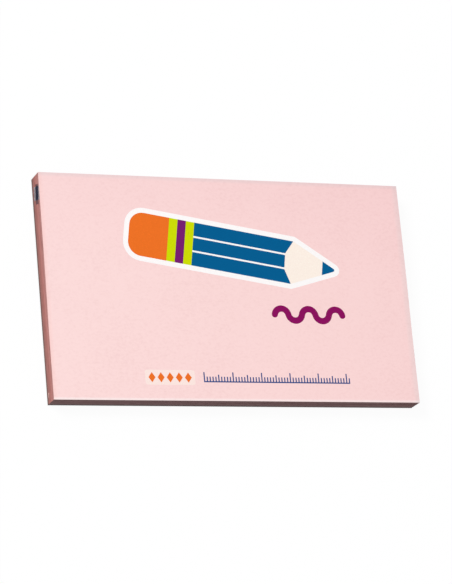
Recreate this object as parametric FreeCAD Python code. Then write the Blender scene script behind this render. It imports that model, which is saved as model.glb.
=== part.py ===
import FreeCAD, Part
import math
import os
import random

# Sticky note pad, in millimetres. It lies on its backing sheet, printed side up.
# The origin is the middle of the underside, +X runs along the long edges, +Y points to the
# long edge where the sheets are glued together, and +Z is up.

# Cut size of every sheet
pad_length = 127.0
pad_width = 76.0

# Stack, from the bottom up
backing_thickness = 0.2
note_thickness = 0.066
note_count = 100
cover_thickness = 0.07

# Adhesive on the back of each note and of the cover sheet, along the glued edge
adhesive_film = 0.006
adhesive_strip_width = 18.0

# Width along the free edge over which the notes lie close together. Between it and the
# adhesive strip they come down from the height that the adhesive gives them.
close_width = 10.0

# How far the cut edges of the notes stand back from the outline of the pad. The glued edge
# stays nearly flush and the free edge fans most.
edge_step = 0.01
glued_edge_steps = 2
side_edge_steps = 4
free_edge_steps = 6
edge_pattern_seed = 4


def glued_edge():
    return pad_width / 2


def free_edge():
    return -pad_width / 2


def sheet_surface(x, start_y, end_y, close_height, adhesive_rise):
    """Edges of the surface between two sheets, at one x, from start_y towards the glued edge.

    The surface lies at close_height near the free edge, and adhesive_rise higher over the
    adhesive strip. Two equal tangent arcs join the two levels.
    """
    strip_y = glued_edge() - adhesive_strip_width
    settled_y = free_edge() + close_width
    settling_width = strip_y - settled_y
    strip_height = close_height + adhesive_rise

    def point(y, z):
        return FreeCAD.Vector(x, y, z)

    if adhesive_rise == 0:
        return [Part.LineSegment(point(start_y, close_height), point(end_y, close_height)).toShape()]

    arc_angle = 2 * math.atan(adhesive_rise / settling_width)
    arc_radius = settling_width / 2 / math.sin(arc_angle)
    half_run = arc_radius * math.sin(arc_angle / 2)
    half_climb = arc_radius * (1 - math.cos(arc_angle / 2))

    settled = point(settled_y, close_height)
    lower_mid = point(settled_y + half_run, close_height + half_climb)
    inflection = point((settled_y + strip_y) / 2, close_height + adhesive_rise / 2)
    upper_mid = point(strip_y - half_run, strip_height - half_climb)
    strip = point(strip_y, strip_height)
    return [
        Part.LineSegment(point(start_y, close_height), settled).toShape(),
        Part.Arc(settled, lower_mid, inflection).toShape(),
        Part.Arc(inflection, upper_mid, strip).toShape(),
        Part.LineSegment(strip, point(end_y, strip_height)).toShape(),
    ]


def sheet_solid(low, high, left_x, right_x, start_y, end_y):
    """One sheet between two surfaces, each given as its close height and its adhesive rise."""
    bottom = sheet_surface(left_x, start_y, end_y, *low)
    top = sheet_surface(left_x, start_y, end_y, *high)
    free_cut = Part.LineSegment(bottom[0].firstVertex().Point, top[0].firstVertex().Point)
    glued_cut = Part.LineSegment(bottom[-1].lastVertex().Point, top[-1].lastVertex().Point)
    section = Part.Wire(Part.sortEdges(bottom + [glued_cut.toShape()] + top + [free_cut.toShape()])[0])
    return Part.Face(section).extrude(FreeCAD.Vector(right_x - left_x, 0, 0))


def surface_above(sheets_below):
    """Close height and adhesive rise of the surface that lies on this many notes."""
    return backing_thickness + sheets_below * note_thickness, sheets_below * adhesive_film


def backing_sheet():
    """Flat card under the last note."""
    corner = FreeCAD.Vector(-pad_length / 2, free_edge(), 0)
    return Part.makeBox(pad_length, pad_width, backing_thickness, corner)


def note_sheets():
    """Block of notes as one solid, in which each note keeps its own cut edges."""
    pattern = random.Random(edge_pattern_seed)

    def set_back(most_steps):
        return edge_step * int(pattern.random() * (most_steps + 1))

    notes = []
    for index in range(note_count):
        left_x = -pad_length / 2 + set_back(side_edge_steps)
        right_x = pad_length / 2 - set_back(side_edge_steps)
        start_y = free_edge() + set_back(free_edge_steps)
        end_y = glued_edge() - set_back(glued_edge_steps)
        notes.append(sheet_solid(surface_above(index), surface_above(index + 1),
                                 left_x, right_x, start_y, end_y))
    return notes[0].multiFuse(notes[1:]).removeSplitter().Solids[0]


def cover_sheet():
    """Printed sheet that follows the bend of the block under it."""
    close_height, adhesive_rise = surface_above(note_count)
    cover_top = (close_height + cover_thickness, adhesive_rise + adhesive_film)
    return sheet_solid((close_height, adhesive_rise), cover_top,
                       -pad_length / 2, pad_length / 2, free_edge(), glued_edge())


sub_parts = {
    "backing_sheet": backing_sheet(),
    "note_sheets": note_sheets(),
    "cover_sheet": cover_sheet(),
}

os.makedirs("parts", exist_ok=True)
for name, shape in sub_parts.items():
    shape.exportStep("parts/" + name + ".step")
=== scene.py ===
import math
import random

import bmesh
import bpy
from mathutils import Color, Matrix, Vector


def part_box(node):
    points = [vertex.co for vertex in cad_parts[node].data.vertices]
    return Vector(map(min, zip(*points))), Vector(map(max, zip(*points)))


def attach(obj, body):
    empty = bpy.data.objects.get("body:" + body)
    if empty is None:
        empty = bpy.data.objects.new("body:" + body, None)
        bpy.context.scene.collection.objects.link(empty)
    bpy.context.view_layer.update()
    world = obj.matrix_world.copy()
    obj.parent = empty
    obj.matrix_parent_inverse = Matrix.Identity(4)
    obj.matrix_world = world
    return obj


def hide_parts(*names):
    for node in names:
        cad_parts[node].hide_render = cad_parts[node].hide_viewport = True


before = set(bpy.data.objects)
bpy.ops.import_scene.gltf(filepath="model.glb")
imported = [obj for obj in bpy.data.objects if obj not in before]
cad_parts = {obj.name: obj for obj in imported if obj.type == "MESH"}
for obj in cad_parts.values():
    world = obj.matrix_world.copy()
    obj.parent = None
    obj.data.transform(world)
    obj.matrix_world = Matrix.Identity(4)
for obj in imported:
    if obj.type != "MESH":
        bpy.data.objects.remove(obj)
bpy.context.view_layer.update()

bl_info = {
    "name": "Sticky Note Pad",
    "version": (1, 0, 0),
    "blender": (4, 5, 0),
    "location": "3D View > Sidebar > Note Pad",
    "description": "Finishes a pad of sticky notes: printed cover, cut note edges and card backing",
    "category": "Object",
}

# Everything is in metres. The pad lies on z = 0 with its glued edge towards +Y.
MM = 0.001
UP = Vector((0, 0, 1))
RIGHT = Vector((1, 0, 0))
BACK = Vector((0, 1, 0))

BACKING_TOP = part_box("backing_sheet")[1].z
CLOSE_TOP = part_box("cover_sheet")[0].z
STRIP_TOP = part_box("note_sheets")[1].z
COVER_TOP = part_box("cover_sheet")[1].z
LOW_CORNER, HIGH_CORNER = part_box("cover_sheet")


def tone(red, green, blue):
    """Linear colour for a display colour given from 0 to 255."""
    return tuple(Color((red / 255, green / 255, blue / 255)).from_srgb_to_scene_linear())


def length(name, default, description):
    return bpy.props.FloatProperty(name=name, description=description, default=default, min=0,
                                   precision=5, unit="LENGTH")


def place(name, default, description):
    return bpy.props.FloatVectorProperty(name=name, description=description, default=default,
                                         size=len(default), precision=5, unit="LENGTH")


def angle(name, degrees, description):
    return bpy.props.FloatProperty(name=name, description=description,
                                   default=math.radians(degrees), unit="ROTATION")


def number(name, default, description):
    return bpy.props.IntProperty(name=name, description=description, default=default, min=1)


def share(name, default, description):
    return bpy.props.FloatProperty(name=name, description=description, default=default, min=0, max=1,
                                   precision=3, subtype="FACTOR")


def colour(name, default, description):
    return bpy.props.FloatVectorProperty(name=name, description=description, default=default,
                                         size=3, min=0, max=1, subtype="COLOR")


class PadSheets(bpy.types.PropertyGroup):
    """How the notes are stacked and how their edges lie."""
    count: number("Notes", 100, "Sheets in the block")
    strip_width: length("Adhesive strip", 18 * MM, "Width of the adhesive strip along the glued edge")
    close_width: length("Close zone", 10 * MM, "Width along the free edge where the notes lie close")
    edge_share: share("Cut edge", 0.8, "Share of a note's pitch that its cut edge takes")
    groove: length("Groove", 0.004 * MM, "Depth of the groove between two cut edges")
    set_back: length("Set-back", 0.03 * MM, "Furthest that a cut edge stands back from the outline")
    lean: length("Lean", 0.012 * MM, "Furthest that a cut edge is out of line with the next one")
    cover_thickness: length("Cover", 0.07 * MM, "Thickness of the cover sheet")
    bend_cuts: number("Bend cuts", 14, "Cuts across the sheets where they come down")
    mark_start: length("Mark start", 3.9 * MM, "From the glued edge to the mark on the top note's edge")
    mark_end: length("Mark end", 10.7 * MM, "From the glued edge to the end of the mark there")
    mark_first_fade: length("First fade", 0.7 * MM, "Length of the mark's faded end near the glued edge")
    mark_last_fade: length("Last fade", 1.4 * MM, "Length of the mark's other faded end")
    mark_slant: length("Mark slant", 1.7 * MM, "How far the mark leans to the glued edge on its way down")
    mark_waver: length("Mark waver", 0.06 * MM, "Furthest that a note's share of the mark is off line")
    mark_cuts: number("Mark cuts", 6, "Parts of the dark mark along its length")
    mark_tilt: share("Mark tilt", 0.12, "Share of the block by which the mark comes down along its length")
    mark_top_depth: share("Top depth", 0.11, "Share of the block above the dark mark")
    mark_dark_depth: share("Dark depth", 0.51, "Share of the block down to the end of the dark mark")
    mark_pale_depth: share("Pale depth", 0.74, "Share of the block down to the end of the pale band")
    nick_place: place("Nick", (-34.35 * MM, 1.7 * MM), "Middle of the nick, along Y and up")
    nick_size: place("Nick size", (3.4 * MM, 1.0 * MM), "Length and height of the nick")
    nick_depth: length("Nick depth", 0.15 * MM, "How far the middle of the nick is pressed in")
    edge_seed: number("Edge seed", 11, "Seed of the pattern in which the cut edges stand back")
    mark_seed: number("Mark seed", 5, "Seed of the pattern in which the mark wavers")


class CoverPrint(bpy.types.PropertyGroup):
    """Sizes and places of the printed shapes, from the middle of the cover sheet."""
    pencil_middle: place("Pencil", (2.0 * MM, 12.8 * MM), "Middle of the pencil")
    pencil_turn: angle("Pencil turn", 171, "Turn of the pencil, whose point looks along -X at no turn")
    pencil_height: length("Pencil height", 15 * MM, "Height of the pencil's body")
    pencil_lead: length("Lead", 5.2 * MM, "Length of the coloured point")
    pencil_wood: length("Wood", 10.8 * MM, "Length of the bare wood behind the point")
    pencil_body: length("Body", 35 * MM, "Length of the painted body")
    pencil_band: length("Band", 2.9 * MM, "Width of each of the three bands of the ferrule")
    pencil_rubber: length("Rubber", 13.5 * MM, "Length of the rubber")
    pencil_tip: length("Tip", 1.5 * MM, "Length of the point that is rounded off")
    facet_gap: length("Facet gap", 0.6 * MM, "Width of the pale lines between the body's facets")
    facet_point: length("Facet point", 2.6 * MM, "Reach of the wood between the body's facets")
    outline: length("Outline", 1.7 * MM, "Width of the pale outline round the pencil")
    wave_start: place("Wave", (14.5 * MM, -8.4 * MM), "Start of the wavy stroke")
    wave_radius: length("Wave radius", 2.45 * MM, "Radius of each half wave")
    wave_turn: angle("Wave turn", 160, "Turn of each half wave")
    wave_stroke: length("Wave stroke", 2.2 * MM, "Width of the wavy stroke")
    wave_count: number("Half waves", 5, "Half waves in the stroke")
    panel_middle: place("Panel", (-23.9 * MM, -30.3 * MM), "Middle of the pale panel")
    panel_size: place("Panel size", (17.0 * MM, 5.0 * MM), "Length and height of the pale panel")
    panel_corner: length("Panel corner", 0.8 * MM, "Radius of the panel's corners")
    lozenge_size: place("Lozenge", (2.4 * MM, 3.4 * MM), "Width and height of a lozenge")
    lozenge_pitch: length("Lozenge pitch", 3.1 * MM, "From one lozenge to the next")
    lozenge_count: number("Lozenges", 5, "Lozenges on the panel")
    scale_start: place("Scale", (-12.4 * MM, -31.6 * MM), "Left end of the scale's base line")
    scale_pitch: length("Scale pitch", 1.0 * MM, "From one line of the scale to the next")
    scale_stroke: length("Scale stroke", 0.42 * MM, "Width of a line of the scale")
    scale_heights: bpy.props.FloatVectorProperty(
        name="Scale heights", description="Heights of a plain line, of every fifth and of every tenth",
        default=(1.5 * MM, 2.2 * MM, 3.0 * MM), size=3, precision=5, unit="LENGTH")
    scale_count: number("Scale lines", 52, "Lines in the scale")


class PadColours(bpy.types.PropertyGroup):
    """Colours of the papers and the inks."""
    cover: colour("Cover", tone(254, 221, 219), "Face of the paper near the free edge")
    # Painted shade: the face is made a shade deeper towards the glued edge.
    cover_shaded_at_glue: colour("Cover at glue", tone(251, 216, 215), "Face of the paper over the adhesive")
    # Painted highlight: a lighter line along the free edge of the face.
    cover_highlight_rim: colour("Free rim", tone(255, 236, 234), "Face of the paper along its free edge")
    # Painted shade: a greyer line along the glued edge of the face.
    cover_shade_rim: colour("Glued rim", tone(240, 213, 213), "Face of the paper along its glued edge")
    # Painted shade: the cut-edge tones turn darker and greyer towards the bottom of the block, deepest
    # along the lowest notes.
    cut_upper: colour("Upper cut edges", tone(230, 166, 160), "Cut edges of the uppermost notes")
    cut_middle: colour("Middle cut edges", tone(212, 141, 134), "Cut edges half way down")
    cut_lower: colour("Lower cut edges", tone(190, 135, 128), "Cut edges of the lower notes")
    cut_lowest_shaded: colour("Lowest cut edges", tone(130, 110, 106), "Cut edges of the lowest notes")
    # Painted shade: the free edges, which face away from the lamp, get their own greyer copy of the
    # cut-edge tones.
    free_upper_shaded: colour("Upper free edges", tone(212, 167, 167), "Free edges of the uppermost notes")
    free_lowest_shaded: colour("Lowest free edges", tone(192, 172, 173), "Free edges of the lowest notes")
    card: colour("Card", tone(132, 118, 110), "Card backing")
    deep_blue: colour("Deep blue", tone(0, 92, 143), "Body and point of the pencil")
    orange: colour("Orange", tone(238, 113, 36), "Rubber and lozenges")
    lime: colour("Lime", tone(204, 219, 0), "Outer bands of the ferrule")
    violet: colour("Violet", tone(118, 28, 112), "Middle band of the ferrule")
    plum: colour("Plum", tone(138, 14, 92), "Wavy stroke")
    navy: colour("Navy", tone(46, 74, 132), "Scale")
    pale: colour("Pale", tone(255, 250, 249), "Outline of the pencil")
    wood: colour("Wood", tone(255, 240, 228), "Bare wood of the pencil")
    panel: colour("Panel", tone(254, 230, 223), "Panel under the lozenges")
    mark_dark: colour("Dark mark", tone(42, 45, 60), "Dark mark on the cut edges")
    mark_pale: colour("Pale mark", tone(154, 142, 146), "Pale bands over and under the dark mark")
    mark_faded: colour("Faded mark", tone(112, 82, 84), "Faded ends of the mark")
    # Painted highlight: the half of the nick that faces the lamp is made lighter, like lit torn fibres.
    torn_paper: colour("Torn paper", tone(212, 168, 160), "Torn fibres in the nick")


class PadStage(bpy.types.PropertyGroup):
    """Camera, lamps and floor."""
    camera_position: place("Camera", (-323.8 * MM, -260.3 * MM, 798.9 * MM), "Where the camera stands")
    camera_aim: place("Aim", (-1.96 * MM, -1.08 * MM, 7.0 * MM), "What the camera looks at")
    camera_roll: angle("Roll", 49.12, "Turn of the camera about its line of sight")
    camera_lens: bpy.props.FloatProperty(name="Lens", description="Focal length in mm", default=168.47)
    key_position: place("Key", (-3.07, 1.77, 3.50), "Where the soft lamp stands")
    key_size: length("Key size", 1.6, "Side of the soft lamp")
    key_power: bpy.props.FloatProperty(name="Key power", description="Power in watts", default=210)
    sky_level: share("Sky", 0.42, "Brightness of the even light")
    sky: colour("Sky colour", (0.96, 0.99, 1.0), "Colour of the even light")
    floor_size: length("Floor", 4.0, "Side of the floor")
    floor_drop: length("Floor drop", 0.1 * MM, "From the pad's underside down to the floor")
    shadow_share: share("Shadow", 0.045, "Share of the floor's white that the shadow can take")


class NotePad(bpy.types.PropertyGroup):
    """All settings of the pad."""
    sheets: bpy.props.PointerProperty(type=PadSheets)
    cover: bpy.props.PointerProperty(type=CoverPrint)
    colours: bpy.props.PointerProperty(type=PadColours)
    stage: bpy.props.PointerProperty(type=PadStage)


# Materials

def shade(rgb, factor):
    return (*(min(1, channel * factor) for channel in rgb), 1)


def new_material(name):
    material = bpy.data.materials.new(name)
    material.use_nodes = True
    return material, material.node_tree, material.node_tree.nodes["Principled BSDF"]


def noise(tree, per_metre, detail, roughness=0.5):
    """Noise on the pad's own coordinates, with that many features to the metre along X, Y and Z."""
    place_node = tree.nodes.new("ShaderNodeTexCoord")
    mapping = tree.nodes.new("ShaderNodeMapping")
    texture = tree.nodes.new("ShaderNodeTexNoise")
    mapping.inputs["Scale"].default_value = per_metre
    texture.inputs["Scale"].default_value = 1
    texture.inputs["Detail"].default_value = detail
    texture.inputs["Roughness"].default_value = roughness
    tree.links.new(place_node.outputs["Object"], mapping.inputs["Vector"])
    tree.links.new(mapping.outputs["Vector"], texture.inputs["Vector"])
    return texture.outputs["Fac"]


def blend_values(tree, first, second, weight):
    """Mean of two values, with this weight from 0 to 1 on the second."""
    mix = tree.nodes.new("ShaderNodeMix")
    mix.inputs["Factor"].default_value = weight
    tree.links.new(first, mix.inputs["A"])
    tree.links.new(second, mix.inputs["B"])
    return mix.outputs["Result"]


def ramp(tree, value, stops):
    """Colours that follow a value, as (place from 0 to 1, colour) stops."""
    node = tree.nodes.new("ShaderNodeValToRGB")
    elements = node.color_ramp.elements
    while len(elements) < len(stops):
        elements.new(1)
    for element, (position, rgba) in zip(elements, stops):
        element.position = position
        element.color = rgba
    tree.links.new(value, node.inputs["Fac"])
    return node.outputs["Color"]


def along(tree, axis, low, high):
    """Way along an axis of the pad, from 0 at low to 1 at high."""
    place_node = tree.nodes.new("ShaderNodeTexCoord")
    split = tree.nodes.new("ShaderNodeSeparateXYZ")
    way = tree.nodes.new("ShaderNodeMapRange")
    way.inputs["From Min"].default_value = low
    way.inputs["From Max"].default_value = high
    tree.links.new(place_node.outputs["Object"], split.inputs["Vector"])
    tree.links.new(split.outputs[axis], way.inputs["Value"])
    return way.outputs["Result"]


def multiply(tree, first, second):
    """Product of two colours."""
    mix = tree.nodes.new("ShaderNodeMix")
    mix.data_type = "RGBA"
    mix.blend_type = "MULTIPLY"
    mix.inputs["Factor"].default_value = 1
    tree.links.new(first, mix.inputs[6])
    tree.links.new(second, mix.inputs[7])
    return mix.outputs[2]


def set_grain(tree, shader, height, depth, rough_low, rough_high):
    """Bump and roughness that follow one value."""
    bump = tree.nodes.new("ShaderNodeBump")
    bump.inputs["Strength"].default_value = 0.5
    bump.inputs["Distance"].default_value = depth
    tree.links.new(height, bump.inputs["Height"])
    tree.links.new(bump.outputs["Normal"], shader.inputs["Normal"])
    spread = tree.nodes.new("ShaderNodeMapRange")
    spread.inputs["To Min"].default_value = rough_low
    spread.inputs["To Max"].default_value = rough_high
    tree.links.new(height, spread.inputs["Value"])
    tree.links.new(spread.outputs["Result"], shader.inputs["Roughness"])


def paper(name, colours):
    """Uncoated paper, with painted shade that deepens it towards the glued edge and the right end, a
    painted highlight along its free rim, painted shade along its glued and right rims and a deeper pink
    along its left rim.
    """
    material, tree, shader = new_material(name)
    fibres = noise(tree, (900, 1150, 900), 6, 0.66)
    clouds = noise(tree, (70, 70, 70), 4)
    look = blend_values(tree, fibres, clouds, 0.22)
    mottle = ramp(tree, look, [(0.32, (0.945, 0.91, 0.91, 1)), (0.5, (0.99, 0.98, 0.98, 1)),
                               (0.66, (1, 1, 1, 1))])
    # Painted highlight along the free rim; painted shade deepening the face towards the glued edge and
    # along the glued rim.
    base = ramp(tree, along(tree, "Y", LOW_CORNER.y, HIGH_CORNER.y),
                [(0.007, shade(colours.cover_highlight_rim, 1)), (0.012, shade(colours.cover, 1)),
                 (0.55, shade(colours.cover, 1)), (0.98, shade(colours.cover_shaded_at_glue, 1)),
                 (0.994, shade(colours.cover_shade_rim, 1))])
    # Painted light falloff: the face grows a shade deeper towards the right end, with painted shade in a
    # greyer band along the right rim. The left rim is a little deeper pink.
    painted_falloff = ramp(tree, along(tree, "X", LOW_CORNER.x, HIGH_CORNER.x),
                  [(0, (1, 0.93, 0.91, 1)), (0.012, (1, 1, 1, 1)), (0.5, (0.993, 0.972, 0.972, 1)),
                   (0.983, (0.985, 0.94, 0.945, 1)), (0.995, (0.9, 0.93, 0.94, 1))])
    tree.links.new(multiply(tree, multiply(tree, base, painted_falloff), mottle), shader.inputs["Base Color"])
    set_grain(tree, shader, noise(tree, (5200, 5200, 5200), 3), 0.02 * MM, 0.8, 0.95)
    shader.inputs["Specular IOR Level"].default_value = 0.1
    return material


def ink(name, rgb):
    """Flat offset ink on the same paper: a little smoother, with the tooth of the paper in it."""
    material, tree, shader = new_material(name)
    tooth = noise(tree, (2600, 2600, 2600), 5, 0.7)
    colours = ramp(tree, tooth,
                   [(0.25, shade(rgb, 1.12)), (0.45, shade(rgb, 1)), (0.75, shade(rgb, 0.94))])
    tree.links.new(colours, shader.inputs["Base Color"])
    set_grain(tree, shader, tooth, 0.01 * MM, 0.6, 0.75)
    shader.inputs["Specular IOR Level"].default_value = 0.05
    return material


def blotchy(name, rgb):
    """Uneven tone on the cut edges, for ink and for the painted highlight in the nick."""
    material, tree, shader = new_material(name)
    blotches = noise(tree, (900, 900, 1400), 3, 0.6)
    colours = ramp(tree, blotches,
                   [(0.35, shade(rgb, 0.75)), (0.5, shade(rgb, 1)), (0.65, shade(rgb, 1.6))])
    tree.links.new(colours, shader.inputs["Base Color"])
    set_grain(tree, shader, blotches, 0.01 * MM, 0.7, 0.9)
    shader.inputs["Specular IOR Level"].default_value = 0.05
    return material


def cut_edges(name, tones_up):
    """Cut edges of the stack: long streaks in bundles and one by one, and a few short dashes.

    tones_up holds (share of the block's height, colour) pairs from the bottom up: painted shade that
    darkens the edges towards the bottom.
    """
    material, tree, shader = new_material(name)
    bundles = noise(tree, (4, 4, 1700), 2, 0.6)
    sheets = noise(tree, (30, 30, 13000), 3, 0.6)
    streaks = blend_values(tree, bundles, sheets, 0.35)
    tones = ramp(tree, streaks,
                 [(0.36, (0.57, 0.54, 0.54, 1)), (0.5, (0.86, 0.86, 0.86, 1)), (0.62, (1, 1, 1, 1))])
    dashes = ramp(tree, noise(tree, (260, 260, 1500), 2),
                  [(0.3, (0.7, 0.66, 0.66, 1)), (0.41, (0.89, 0.88, 0.88, 1)),
                   (0.6, (0.9, 0.9, 0.9, 1)), (0.7, (1, 1, 1, 1))])
    # Painted shade: darker towards the bottom of the block.
    base = ramp(tree, along(tree, "Z", 0, STRIP_TOP),
                [(height, shade(rgb, 1)) for height, rgb in tones_up])
    look = multiply(tree, multiply(tree, base, tones), dashes)
    tree.links.new(look, shader.inputs["Base Color"])
    set_grain(tree, shader, sheets, 0.02 * MM, 0.85, 0.97)
    shader.inputs["Specular IOR Level"].default_value = 0.03
    return material


def card(name, rgb):
    """Grey card with short dark and light fibres."""
    material, tree, shader = new_material(name)
    flecks = noise(tree, (700, 1100, 2500), 6, 0.7)
    colours = ramp(tree, flecks, [(0.3, shade(rgb, 0.8)), (0.48, shade(rgb, 1)), (0.62, shade(rgb, 1.03)),
                                  (0.75, shade(rgb, 1.16))])
    tree.links.new(colours, shader.inputs["Base Color"])
    set_grain(tree, shader, flecks, 0.03 * MM, 0.8, 0.95)
    shader.inputs["Specular IOR Level"].default_value = 0.15
    return material


# Shapes

def faces_in(geometry):
    return [item for item in geometry if isinstance(item, bmesh.types.BMFace)]


def verts_in(geometry):
    return [item for item in geometry if isinstance(item, bmesh.types.BMVert)]


def outline_edges(faces):
    """Edges that only one of the faces has."""
    return [edge for face in faces for edge in face.edges
            if sum(other in faces for other in edge.link_faces) == 1]


def rectangle(bm, middle, size, material):
    spot = Matrix.Translation((*middle, 0)) @ Matrix.Diagonal((*size, 1, 1))
    made = bmesh.ops.create_grid(bm, x_segments=1, y_segments=1, size=0.5, matrix=spot)
    face = made["verts"][0].link_faces[0]
    face.material_index = material
    return face


def round_corners(bm, corners, radius, segments):
    bmesh.ops.bevel(bm, geom=corners, offset=radius, offset_type="OFFSET", affect="VERTICES",
                    segments=segments, profile=0.5, material=-1)


def fill_between(bm, edges, material):
    """Fills the flat area between closed outlines, which leaves what lies inside the inner ones."""
    made = bmesh.ops.triangle_fill(bm, use_beauty=True, use_dissolve=False, edges=edges, normal=UP)
    faces = faces_in(made["geom"])
    if not faces:
        raise RuntimeError("The sheet couldn't be filled round the print")
    for face in faces:
        face.material_index = material
    return faces


def cut_across(bm, axis, stations):
    """Cuts the mesh by upright planes at these places along an axis."""
    for station in stations:
        bmesh.ops.bisect_plane(bm, geom=bm.verts[:] + bm.edges[:] + bm.faces[:], dist=1e-8,
                               plane_co=axis * station, plane_no=axis)


def bend_stations(sheets):
    """Places along Y where a sheet needs a cut to bend from the close zone to the adhesive strip."""
    settled = LOW_CORNER.y + sheets.close_width
    strip = HIGH_CORNER.y - sheets.strip_width
    return [settled + (strip - settled) * step / sheets.bend_cuts for step in range(sheets.bend_cuts + 1)]


def bend_share(sheets, y):
    """Share of the adhesive's rise at y: none near the free edge, all of it over the strip."""
    settled = LOW_CORNER.y + sheets.close_width
    strip = HIGH_CORNER.y - sheets.strip_width
    way = min(1, max(0, (y - settled) / (strip - settled)))
    return 2 * way ** 2 if way < 0.5 else 1 - 2 * (1 - way) ** 2


def raise_over_strip(bm, sheets, low, high):
    """Lifts the mesh towards the glued edge, given the (flat height, rise) of its two levels."""
    for vert in bm.verts:
        way = (vert.co.z - low[0]) / (high[0] - low[0])
        vert.co.z += bend_share(sheets, vert.co.y) * (low[1] + way * (high[1] - low[1]))


def finish_piece(bm, name, materials, node):
    """Turns a mesh into a piece of the pad that stands for one node."""
    bm.normal_update()
    mesh = bpy.data.meshes.new(name)
    bm.to_mesh(mesh)
    bm.free()
    for material in materials:
        mesh.materials.append(material)
    piece = bpy.data.objects.new(name, mesh)
    bpy.context.scene.collection.objects.link(piece)
    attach(piece, "root")
    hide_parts(node)
    return piece


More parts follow.
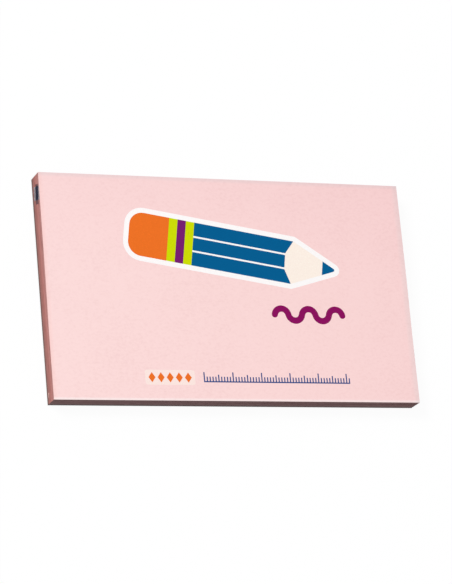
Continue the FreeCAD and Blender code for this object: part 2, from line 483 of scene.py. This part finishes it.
class MakeCover(bpy.types.Operator):
    """Make the printed cover sheet, with each printed shape let into its face"""
    bl_idname = "notepad.make_cover"
    bl_label = "Cover sheet"

    materials = ("cover", "deep_blue", "orange", "lime", "violet", "plum", "navy", "pale", "wood",
                 "panel")

    def index(self, name):
        return self.materials.index(name)

    def pencil(self, bm, design):
        """Pencil seen from the side, its point to the left, with a pale outline round it."""
        lead = design.pencil_lead
        wood = lead + design.pencil_wood
        body = wood + design.pencil_body
        bands = [body + design.pencil_band * number for number in (1, 2, 3)]
        end = bands[-1] + design.pencil_rubber
        half = design.pencil_height / 2
        silhouette = [(0, 0), (wood, -half), (end, -half), (end, half), (wood, half)]
        corners = [bm.verts.new((x - end / 2, y, 0)) for x, y in silhouette]
        bm.faces.new(corners)
        round_corners(bm, corners[2:4], half * 0.62, 7)
        round_corners(bm, corners[:1], design.pencil_tip, 5)
        self.surround(bm, design.outline, self.index("pale"))
        cut_across(bm, RIGHT, [station - end / 2 for station in (lead, wood, body, *bands)])
        self.facets(bm, design, wood - end / 2, body - end / 2, half)
        limits = [(lead, "deep_blue"), (wood, "wood"), (body, "deep_blue"), (bands[0], "lime"),
                  (bands[1], "violet"), (bands[2], "lime"), (end, "orange")]
        for face in bm.faces:
            if face.material_index != self.index("pale"):
                middle = face.calc_center_median().x + end / 2
                face.material_index = self.index(next(name for limit, name in limits if middle < limit))

    def surround(self, bm, width, material):
        """Adds a margin of this width and material round the only face."""
        inner = bm.edges[:]
        copied = bmesh.ops.duplicate(bm, geom=bm.verts[:] + bm.edges[:] + bm.faces[:])
        wide = faces_in(copied["geom"])
        folded = bmesh.ops.inset_region(bm, faces=wide, use_boundary=True, use_even_offset=True,
                                        thickness=-width)
        bmesh.ops.delete(bm, geom=folded["faces"], context="FACES")
        outer = list(wide[0].edges)
        bmesh.ops.delete(bm, geom=wide, context="FACES_ONLY")
        fill_between(bm, inner + outer, material)

    def facets(self, bm, design, start, stop, half):
        """Pale lines along the body between its facets, with the wood reaching in between them."""
        facet = half / 3
        for line in (-facet - design.facet_gap / 2, -facet + design.facet_gap / 2,
                     facet - design.facet_gap / 2, facet + design.facet_gap / 2):
            body = [face for face in bm.faces if start < face.calc_center_median().x < stop
                    and face.material_index != self.index("pale")]
            geom = body + list(dict.fromkeys(edge for face in body for edge in face.edges))
            geom += list(dict.fromkeys(vert for face in body for vert in face.verts))
            bmesh.ops.bisect_plane(bm, geom=geom, dist=1e-8, plane_co=(0, line, 0), plane_no=BACK)
        for face in bm.faces:
            middle = face.calc_center_median()
            if start < middle.x < stop and abs(abs(middle.y) - facet) < design.facet_gap / 2:
                face.material_index = self.index("pale")
        joints = [vert for vert in bm.verts
                  if abs(vert.co.x - start) < 1e-6 and abs(abs(vert.co.y) - facet) < design.facet_gap]
        bmesh.ops.translate(bm, verts=joints, vec=(design.facet_point, 0, 0))

    def wave(self, bm, design):
        """Wavy stroke of equal half waves with round ends."""
        half_turn = design.wave_turn / 2
        start = Vector((*design.wave_start, 0))
        outward = Vector((-math.sin(half_turn), math.cos(half_turn), 0))
        centre = start - outward * design.wave_radius
        across = [bm.verts.new(start + outward * side * design.wave_stroke / 2) for side in (-1, 0, 1)]
        ends = [bm.edges.new(across[:2]), bm.edges.new(across[1:])]
        self.half_disc(bm, ends, UP.cross(outward))
        turn = -design.wave_turn
        for _ in range(design.wave_count):
            spun = bmesh.ops.spin(bm, geom=ends, cent=centre, axis=UP, angle=turn, steps=12)
            ends = [item for item in spun["geom_last"] if isinstance(item, bmesh.types.BMEdge)]
            middle = next(vert for vert in ends[0].verts if vert in ends[1].verts).co
            ahead = UP.cross(middle - centre) * turn
            centre = 2 * middle - centre
            turn = -turn
        self.half_disc(bm, ends, ahead)
        bmesh.ops.remove_doubles(bm, verts=bm.verts[:], dist=design.wave_stroke / 1000)
        for face in bm.faces:
            face.material_index = self.index("plum")

    def half_disc(self, bm, ends, ahead):
        """Rounds the end of a stroke, given its two end edges and the way that it points."""
        middle = next(vert for vert in ends[0].verts if vert in ends[1].verts)
        spoke = ends[0].other_vert(middle).co - middle.co
        side = 1 if UP.cross(spoke).dot(ahead) > 0 else -1
        bmesh.ops.spin(bm, geom=[ends[0]], cent=middle.co, axis=UP, angle=side * math.pi, steps=12)

    def panel(self, bm, design):
        """Pale panel with a row of lozenges."""
        frame_face = rectangle(bm, design.panel_middle, design.panel_size, self.index("panel"))
        round_corners(bm, frame_face.verts[:], design.panel_corner, 5)
        outline = bm.edges[:]
        bmesh.ops.delete(bm, geom=bm.faces[:], context="FACES_ONLY")
        x, y = design.panel_middle
        for number in range(design.lozenge_count):
            shift = (number - (design.lozenge_count - 1) / 2) * design.lozenge_pitch
            spot = Matrix.Translation((x + shift, y, 0)) @ Matrix.Diagonal((*design.lozenge_size, 1, 1))
            made = bmesh.ops.create_circle(bm, cap_ends=True, radius=0.5, segments=4, matrix=spot)
            made["verts"][0].link_faces[0].material_index = self.index("orange")
        lozenges = [edge for edge in bm.edges if edge not in outline]
        fill_between(bm, outline + lozenges, self.index("panel"))

    def scale(self, bm, design):
        """Scale of short lines on a base line, longer at every fifth and longest at every tenth."""
        stroke = design.scale_stroke
        run = (design.scale_count - 1) * design.scale_pitch + stroke
        start, y = design.scale_start
        rectangle(bm, (start + run / 2, y), (run, stroke), self.index("navy"))
        for number in range(design.scale_count):
            left = start + number * design.scale_pitch
            cut_across(bm, RIGHT, (left, left + stroke))
        plain, fifth, tenth = design.scale_heights
        for edge in bm.edges[:]:
            middle = (edge.verts[0].co + edge.verts[1].co) / 2
            number, past = divmod(middle.x - start, design.scale_pitch)
            if middle.y > y + stroke * 0.4 and past < stroke:
                made = bmesh.ops.extrude_edge_only(bm, edges=[edge])
                height = tenth if number % 10 == 0 else fifth if number % 5 == 0 else plain
                bmesh.ops.translate(bm, verts=verts_in(made["geom"]), vec=(0, height, 0))
        for face in bm.faces:
            face.material_index = self.index("navy")

    def add_shape(self, bm, draw, design, spot=Matrix.Identity(4)):
        """Draws a shape by itself and adds it to the sheet."""
        part = bmesh.new()
        draw(part, design)
        bmesh.ops.transform(part, matrix=spot, verts=part.verts[:])
        part.normal_update()
        bmesh.ops.reverse_faces(part, faces=[face for face in part.faces if face.normal.z < 0])
        mesh = bpy.data.meshes.new("shape")
        part.to_mesh(mesh)
        part.free()
        bm.from_mesh(mesh)
        bpy.data.meshes.remove(mesh)

    def execute(self, context):
        pad = context.scene.note_pad
        design = pad.cover
        bm = bmesh.new()
        pencil_spot = Matrix.Translation((*design.pencil_middle, 0))
        pencil_turn = Matrix.Rotation(design.pencil_turn, 4, "Z")
        self.add_shape(bm, self.pencil, design, pencil_spot @ pencil_turn)
        self.add_shape(bm, self.wave, design)
        self.add_shape(bm, self.panel, design)
        self.add_shape(bm, self.scale, design)
        printed = outline_edges(bm.faces[:])
        size = (HIGH_CORNER.x - LOW_CORNER.x, HIGH_CORNER.y - LOW_CORNER.y)
        sheet = rectangle(bm, (0, 0), size, self.index("cover"))
        rim = list(sheet.edges)
        bmesh.ops.delete(bm, geom=[sheet], context="FACES_ONLY")
        fill_between(bm, printed + rim, self.index("cover"))
        cut_across(bm, BACK, bend_stations(pad.sheets))

        flat_top = CLOSE_TOP + pad.sheets.cover_thickness
        bmesh.ops.translate(bm, verts=bm.verts[:], vec=(0, 0, flat_top))
        made = bmesh.ops.extrude_face_region(bm, geom=bm.faces[:])
        bmesh.ops.translate(bm, verts=verts_in(made["geom"]), vec=(0, 0, CLOSE_TOP - flat_top))
        bm.normal_update()
        for face in bm.faces:
            if face.calc_center_median().z < flat_top - 1e-7:
                face.material_index = self.index("cover")
        bmesh.ops.recalc_face_normals(bm, faces=bm.faces[:])
        raise_over_strip(bm, pad.sheets, (CLOSE_TOP, STRIP_TOP - CLOSE_TOP),
                         (flat_top, COVER_TOP - flat_top))

        makers = [paper("cover_paper", pad.colours)]
        makers += [ink(name + "_ink", getattr(pad.colours, name)) for name in self.materials[1:]]
        finish_piece(bm, "printed_cover", makers, "cover_sheet")
        return {"FINISHED"}


class StackNotes(bpy.types.Operator):
    """Stack the notes one by one, with their cut edges and the mark across them"""
    bl_idname = "notepad.stack_notes"
    bl_label = "Note sheets"

    # The free edges' material carries painted shade, and the nick's lighter material a painted highlight.
    materials = ("note_paper", "cut_paper", "free_edge_paper", "mark_dark", "mark_pale", "mark_faded",
                 "torn_paper")

    def stack(self, bm, sheets):
        """Raises the sheets from the bottom up, in three steps each: a groove and both ends of a cut."""
        pitch = (CLOSE_TOP - BACKING_TOP) / sheets.count
        steps = 3 * sheets.count
        bottom = bm.faces[:]
        rim = outline_edges(bottom)
        copied = bmesh.ops.duplicate(bm, geom=bm.verts[:] + bm.edges[:] + bottom)
        bmesh.ops.translate(bm, verts=verts_in(copied["geom"]), vec=(0, 0, steps * pitch / 3))
        bmesh.ops.spin(bm, geom=rim, cent=(0, 0, 0), axis=UP, angle=0, dvec=(0, 0, pitch / 3),
                       steps=steps)
        bmesh.ops.remove_doubles(bm, verts=bm.verts[:], dist=pitch / 100)
        bmesh.ops.recalc_face_normals(bm, faces=bm.faces[:])

        pattern = random.Random(sheets.edge_seed)
        heights, set_backs = [], []
        lines = [pattern.random() * sheets.set_back for _ in range(4)]
        for step in range(steps + 1):
            number, part = divmod(step, 3)
            heights.append(BACKING_TOP + pitch * (number + (0, (1 - sheets.edge_share) / 2,
                                                            (1 + sheets.edge_share) / 2)[part]))
            if part == 2:
                lines = [min(sheets.set_back, max(0, line + pattern.uniform(-1, 1) * sheets.lean))
                         for line in lines]
            set_backs.append([line + sheets.groove * (part == 0) for line in lines])
        low, high = LOW_CORNER.xy, HIGH_CORNER.xy
        for vert in bm.verts:
            step = round(vert.co.z / (pitch / 3))
            left, right, free, glued = set_backs[step]
            x, y = vert.co.xy
            vert.co.x = min(high.x - right, max(low.x + left, x))
            vert.co.y = min(high.y - glued, max(low.y + free, y))
            vert.co.z = heights[step]

    def nick_way(self, sheets, point):
        """Way from the middle of the nick, at 0, to its rim, at 1."""
        middle_y, middle_z = sheets.nick_place
        length_y, height_z = sheets.nick_size
        return 2 * math.hypot((point.y - middle_y) / length_y, (point.z - middle_z) / height_z)

    def depth(self, point):
        """Share of the flat block's height that lies above a point."""
        return (CLOSE_TOP - point.z) / (CLOSE_TOP - BACKING_TOP)

    def mark_tone(self, sheets, depth, faded):
        """Material of the mark at this share of the block's depth."""
        if sheets.mark_top_depth < depth < sheets.mark_dark_depth:
            return self.materials.index("mark_faded" if faded else "mark_dark")
        bare = faded or depth > sheets.mark_pale_depth
        return self.materials.index("cut_paper" if bare else "mark_pale")

    def colour_faces(self, bm, sheets, mark_span, dark_span):
        """Picks the paper or the ink of each face. A painted highlight, in the lighter tone of torn
        fibres, lies on the free half of the nick, which faces the lamp.
        """
        bm.normal_update()
        for face in bm.faces:
            middle = face.calc_center_median()
            left = face.normal.x < -0.5
            if abs(face.normal.z) > 0.9:
                face.material_index = self.materials.index("note_paper")
            # Painted highlight on the half of the nick that faces the lamp.
            elif left and middle.y < sheets.nick_place[0] and self.nick_way(sheets, middle) < 1:
                face.material_index = self.materials.index("torn_paper")
            elif left and mark_span[0] < middle.y < mark_span[1]:
                way = (mark_span[1] - middle.y) / (mark_span[1] - mark_span[0])
                depth = self.depth(middle) - sheets.mark_tilt * way
                faded = not dark_span[0] < middle.y < dark_span[1]
                face.material_index = self.mark_tone(sheets, depth, faded)
            else:
                # The free edges take the greyer copy of the cut-edge material, as painted shade.
                free = face.normal.y < -0.5
                face.material_index = self.materials.index("free_edge_paper" if free else "cut_paper")

    def wear_left_side(self, bm, sheets, mark_places):
        """Slants the mark, lets it waver from note to note and presses the nick in."""
        pattern = random.Random(sheets.mark_seed)
        for vert in bm.verts:
            if vert.co.x > 0:
                continue
            if any(abs(vert.co.y - place) < 1e-6 for place in mark_places):
                waver = pattern.uniform(-1, 1) * sheets.mark_waver
                vert.co.y += sheets.mark_slant * self.depth(vert.co) + waver
            vert.co.x += sheets.nick_depth * max(0, 1 - self.nick_way(sheets, vert.co))

    def execute(self, context):
        pad = context.scene.note_pad
        sheets = pad.sheets
        mark_span = (HIGH_CORNER.y - sheets.mark_end, HIGH_CORNER.y - sheets.mark_start)
        dark_span = (mark_span[0] + sheets.mark_last_fade, mark_span[1] - sheets.mark_first_fade)
        dark_part = (dark_span[1] - dark_span[0]) / sheets.mark_cuts
        dark_cuts = [dark_span[0] + dark_part * step for step in range(sheets.mark_cuts + 1)]
        mark_places = [*mark_span, *dark_cuts]
        bm = bmesh.new()
        rectangle(bm, (0, 0), (HIGH_CORNER.x - LOW_CORNER.x, HIGH_CORNER.y - LOW_CORNER.y), 0)
        nick = [sheets.nick_place[0] + sheets.nick_size[0] * step / 8 for step in range(-4, 5)]
        cut_across(bm, BACK, bend_stations(sheets) + mark_places + nick)
        self.stack(bm, sheets)
        self.colour_faces(bm, sheets, mark_span, dark_span)
        self.wear_left_side(bm, sheets, mark_places)
        raise_over_strip(bm, sheets, (BACKING_TOP, 0), (CLOSE_TOP, STRIP_TOP - CLOSE_TOP))
        colours = pad.colours
        makers = [paper("note_paper", colours),
                  cut_edges("cut_paper", ((0.02, colours.cut_lowest_shaded), (0.2, colours.cut_lower),
                                          (0.5, colours.cut_middle), (0.9, colours.cut_upper))),
                  # Painted shade: the same cut-edge paper, greyer, for the free edges facing away from the
                  # lamp.
                  cut_edges("free_edge_paper", ((0.02, colours.free_lowest_shaded),
                                                (0.3, colours.free_upper_shaded)))]
        makers += [blotchy(name, getattr(colours, name)) for name in self.materials[3:]]
        finish_piece(bm, "note_block", makers, "note_sheets")
        return {"FINISHED"}


class FinishBacking(bpy.types.Operator):
    """Give the backing sheet the look of grey card"""
    bl_idname = "notepad.finish_backing"
    bl_label = "Backing sheet"

    def execute(self, context):
        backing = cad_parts["backing_sheet"]
        look = card("backing_card", context.scene.note_pad.colours.card)
        if not backing.material_slots:
            backing.data.materials.append(look)
        for slot in backing.material_slots:
            slot.material = look
        return {"FINISHED"}


class SetStage(bpy.types.Operator):
    """Set the floor, the lamps, the sky and the camera"""
    bl_idname = "notepad.set_stage"
    bl_label = "Stage"

    def facing(self, position, target):
        """Matrix of a camera or lamp at a place, level, looking at a target."""
        position = Vector(position)
        turn = (Vector(target) - position).to_track_quat("-Z", "Y").to_matrix().to_4x4()
        return Matrix.Translation(position) @ turn

    def show_white(self, tree, seen, lighting, output):
        """Shows one shader to the camera, in reflections and through glass, and lights with another."""
        path = tree.nodes.new("ShaderNodeLightPath")
        looking = path.outputs["Is Camera Ray"]
        for kind in ("Is Glossy Ray", "Is Transmission Ray"):
            either = tree.nodes.new("ShaderNodeMath")
            either.operation = "MAXIMUM"
            tree.links.new(looking, either.inputs[0])
            tree.links.new(path.outputs[kind], either.inputs[1])
            looking = either.outputs["Value"]
        mix = tree.nodes.new("ShaderNodeMixShader")
        tree.links.new(looking, mix.inputs["Fac"])
        tree.links.new(lighting, mix.inputs[1])
        tree.links.new(seen, mix.inputs[2])
        tree.links.new(mix.outputs["Shader"], output.inputs["Surface"])

    def floor(self, stage):
        """White floor that keeps a soft shadow and sends little light back."""
        bm = bmesh.new()
        bmesh.ops.create_grid(bm, x_segments=1, y_segments=1, size=stage.floor_size / 2,
                              matrix=Matrix.Translation((0, 0, -stage.floor_drop)))
        mesh = bpy.data.meshes.new("floor")
        bm.to_mesh(mesh)
        bm.free()
        material, tree, shader = new_material("floor_white")
        tree.nodes.remove(shader)
        white = tree.nodes.new("ShaderNodeEmission")
        lit = tree.nodes.new("ShaderNodeBsdfDiffuse")
        lit.inputs["Color"].default_value = (1, 1, 1, 1)
        dark = tree.nodes.new("ShaderNodeBsdfDiffuse")
        dark.inputs["Color"].default_value = (0.08, 0.08, 0.08, 1)
        seen = tree.nodes.new("ShaderNodeMixShader")
        seen.inputs["Fac"].default_value = stage.shadow_share
        tree.links.new(white.outputs["Emission"], seen.inputs[1])
        tree.links.new(lit.outputs["BSDF"], seen.inputs[2])
        self.show_white(tree, seen.outputs["Shader"], dark.outputs["BSDF"],
                        tree.nodes["Material Output"])
        mesh.materials.append(material)
        floor = bpy.data.objects.new("floor", mesh)
        bpy.context.scene.collection.objects.link(floor)

    def sky(self, stage):
        """Even light from all round, white where the camera sees it."""
        world = bpy.data.worlds.new("studio")
        world.use_nodes = True
        tree = world.node_tree
        light = tree.nodes["Background"]
        light.inputs["Color"].default_value = (*stage.sky, 1)
        light.inputs["Strength"].default_value = stage.sky_level
        white = tree.nodes.new("ShaderNodeBackground")
        white.inputs["Color"].default_value = (1, 1, 1, 1)
        self.show_white(tree, white.outputs["Background"], light.outputs["Background"],
                        tree.nodes["World Output"])
        bpy.context.scene.world = world

    def key(self, stage):
        """One soft lamp, up beyond the left end of the glued edge."""
        data = bpy.data.lights.new("key", "AREA")
        data.size = stage.key_size
        data.energy = stage.key_power
        lamp = bpy.data.objects.new("key", data)
        lamp.matrix_world = self.facing(stage.key_position, (0, 0, 0))
        bpy.context.scene.collection.objects.link(lamp)

    def camera(self, stage):
        data = bpy.data.cameras.new("photo_camera")
        data.lens = stage.camera_lens
        camera = bpy.data.objects.new("photo_camera", data)
        level = self.facing(stage.camera_position, stage.camera_aim)
        camera.matrix_world = level @ Matrix.Rotation(stage.camera_roll, 4, "Z")
        bpy.context.scene.collection.objects.link(camera)
        bpy.context.scene.camera = camera

    def execute(self, context):
        stage = context.scene.note_pad.stage
        self.floor(stage)
        self.sky(stage)
        self.key(stage)
        self.camera(stage)
        context.scene.view_settings.view_transform = "Standard"
        return {"FINISHED"}


class NotePadPanel(bpy.types.Panel):
    """Lists the steps that finish the pad, with their settings"""
    bl_idname = "VIEW3D_PT_note_pad"
    bl_label = "Note Pad"
    bl_space_type = "VIEW_3D"
    bl_region_type = "UI"
    bl_category = "Note Pad"

    def draw(self, context):
        pad = context.scene.note_pad
        steps = ((MakeCover, pad.cover), (StackNotes, pad.sheets), (FinishBacking, pad.colours),
                 (SetStage, pad.stage))
        for step, settings in steps:
            box = self.layout.box()
            box.operator(step.bl_idname)
            for name in settings.__annotations__:
                box.prop(settings, name)


classes = (PadSheets, CoverPrint, PadColours, PadStage, NotePad,
           MakeCover, StackNotes, FinishBacking, SetStage, NotePadPanel)


def register():
    for item in classes:
        bpy.utils.register_class(item)
    bpy.types.Scene.note_pad = bpy.props.PointerProperty(type=NotePad)


def unregister():
    del bpy.types.Scene.note_pad
    for item in reversed(classes):
        bpy.utils.unregister_class(item)


def main():
    register()
    bpy.ops.notepad.make_cover()
    bpy.ops.notepad.stack_notes()
    bpy.ops.notepad.finish_backing()
    bpy.ops.notepad.set_stage()


if __name__ == "__main__":
    main()
